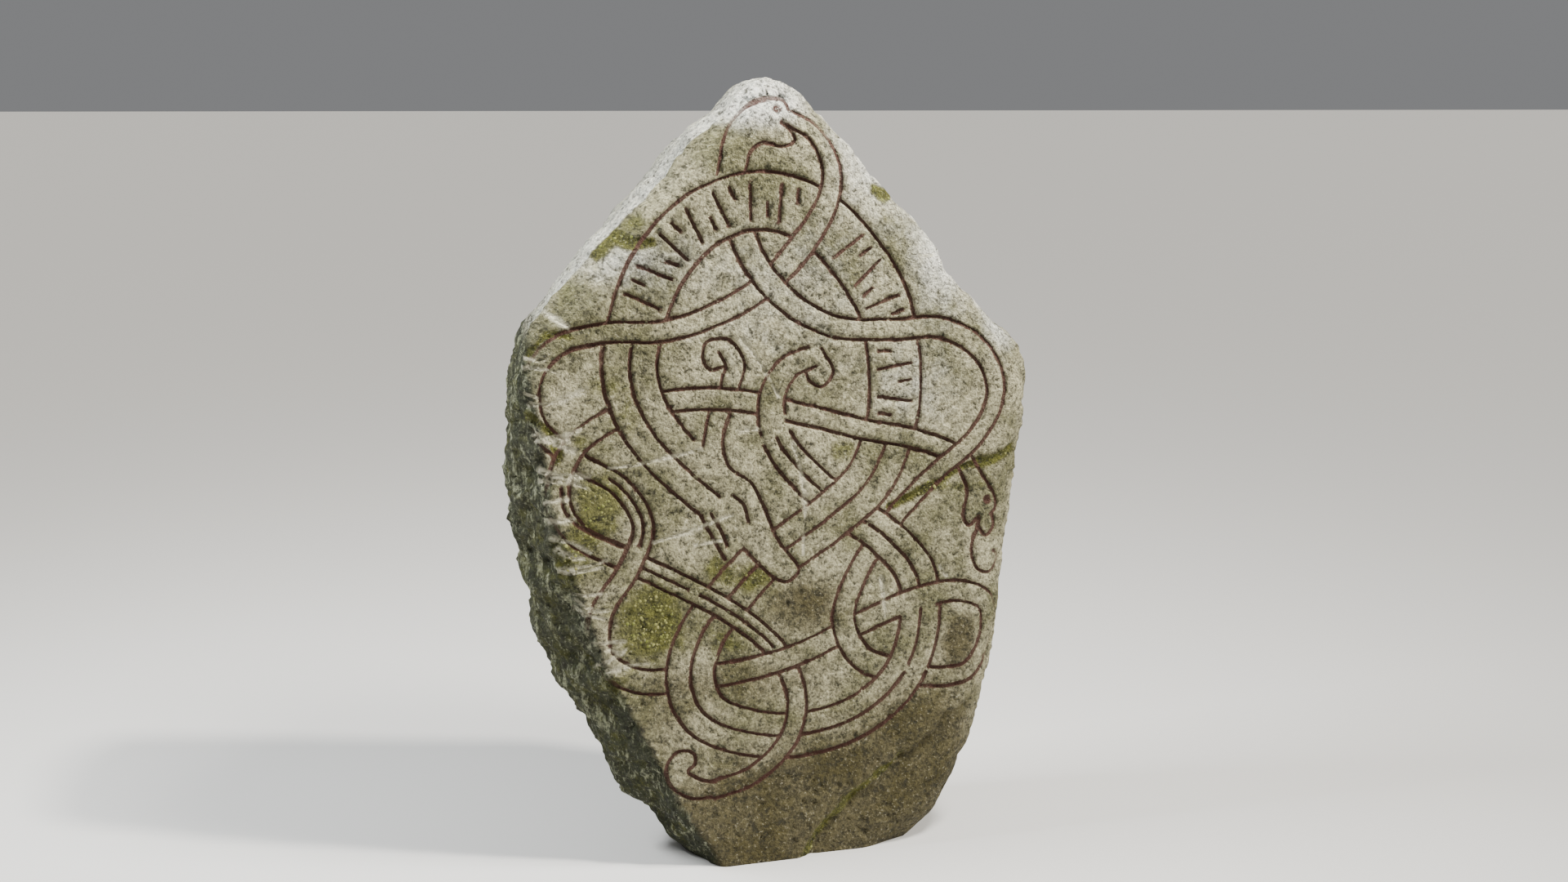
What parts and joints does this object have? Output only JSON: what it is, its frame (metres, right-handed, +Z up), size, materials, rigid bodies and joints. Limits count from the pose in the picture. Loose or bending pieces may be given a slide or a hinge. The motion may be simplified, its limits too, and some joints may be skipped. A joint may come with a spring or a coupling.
{
  "type": "rune stone",
  "caption": "Upright slab of granite with a pointed head and a narrow flat-cut foot, its front carved with interlaced serpents and a band of strokes",
  "frame": {"origin": "middle of the stone's box at the ground, on the flat underside", "axes": "+Z up along the stone's height, the carved face looks towards -Y, +X to the right as seen from in front"},
  "size_m": [1.0114, 0.32, 1.5023],
  "materials": {
    "stone": "weathered grey granite, rough, with moss and lichen and faded dark red paint in the carving"
  },
  "bodies": {
    "root": {"rune_stone": "stone"}
  },
  "joints": []
}
